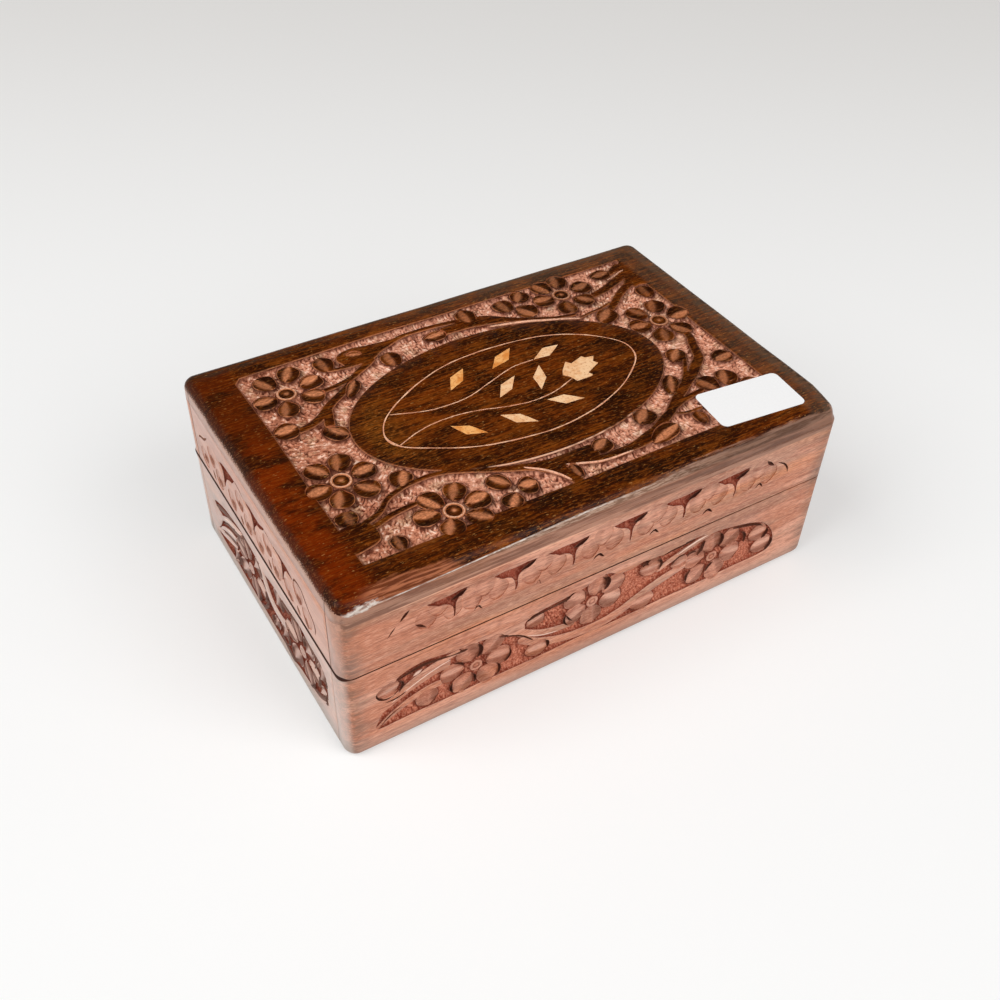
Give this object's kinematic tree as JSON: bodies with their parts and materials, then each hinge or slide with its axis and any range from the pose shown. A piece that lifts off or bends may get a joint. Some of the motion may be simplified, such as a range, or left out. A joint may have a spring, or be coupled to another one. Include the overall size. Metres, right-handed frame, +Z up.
{
  "type": "keepsake box",
  "caption": "Rectangular hardwood keepsake box with a hinged lid, floral relief carving on every side and an oval lid medallion with pale inlaid leaves and stems.",
  "frame": {"origin": "middle of the underside, on the surface that the box stands on", "axes": "+X along the front to the right, +Y to the back where the hinges are, +Z up"},
  "size_m": [0.215, 0.14, 0.0801],
  "materials": {
    "polished_dark_wood": "polished dark brown hardwood, raw pinkish ground in the carving",
    "carved_side_wood": "terracotta hardwood, thin oil finish, fine grain along the boards",
    "plain_inner_wood": "bare planed wood",
    "inlay_brass": "sanded flush and dulled",
    "hinge_brass": "plain small hardware",
    "label_paper": "white coated paper, blank"
  },
  "bodies": {
    "box": {"box_front_wall": "carved_side_wood", "box_back_wall": "carved_side_wood", "box_left_wall": "carved_side_wood", "box_right_wall": "carved_side_wood", "box_bottom_board": "plain_inner_wood", "hinge_left_box_leaf": "hinge_brass", "hinge_right_box_leaf": "hinge_brass", "hinge_left_pin": "hinge_brass", "hinge_right_pin": "hinge_brass", "hinge_box_screws": "hinge_brass"},
    "lid": {"lid_top_board": "polished_dark_wood", "lid_front_wall": "carved_side_wood", "lid_back_wall": "carved_side_wood", "lid_left_wall": "carved_side_wood", "lid_right_wall": "carved_side_wood", "inlay_oval_line": "inlay_brass", "inlay_stem_upper": "inlay_brass", "inlay_stem_lower": "inlay_brass", "inlay_tulip": "inlay_brass", "inlay_leaf_1": "inlay_brass", "inlay_leaf_2": "inlay_brass", "inlay_leaf_3": "inlay_brass", "inlay_leaf_4": "inlay_brass", "inlay_leaf_5": "inlay_brass", "inlay_leaf_6": "inlay_brass", "inlay_leaf_7": "inlay_brass", "inlay_leaf_8": "inlay_brass", "paper_label": "label_paper", "hinge_left_lid_leaf": "hinge_brass", "hinge_right_lid_leaf": "hinge_brass", "hinge_lid_screws": "hinge_brass"}
  },
  "joints": [
    {"name": "lid_hinge", "type": "hinge", "parent": "box", "child": "lid", "pos_m": [0, 0.0678, 0.044], "axis": [-1, 0, 0], "range_deg": [0, 100]}
  ]
}
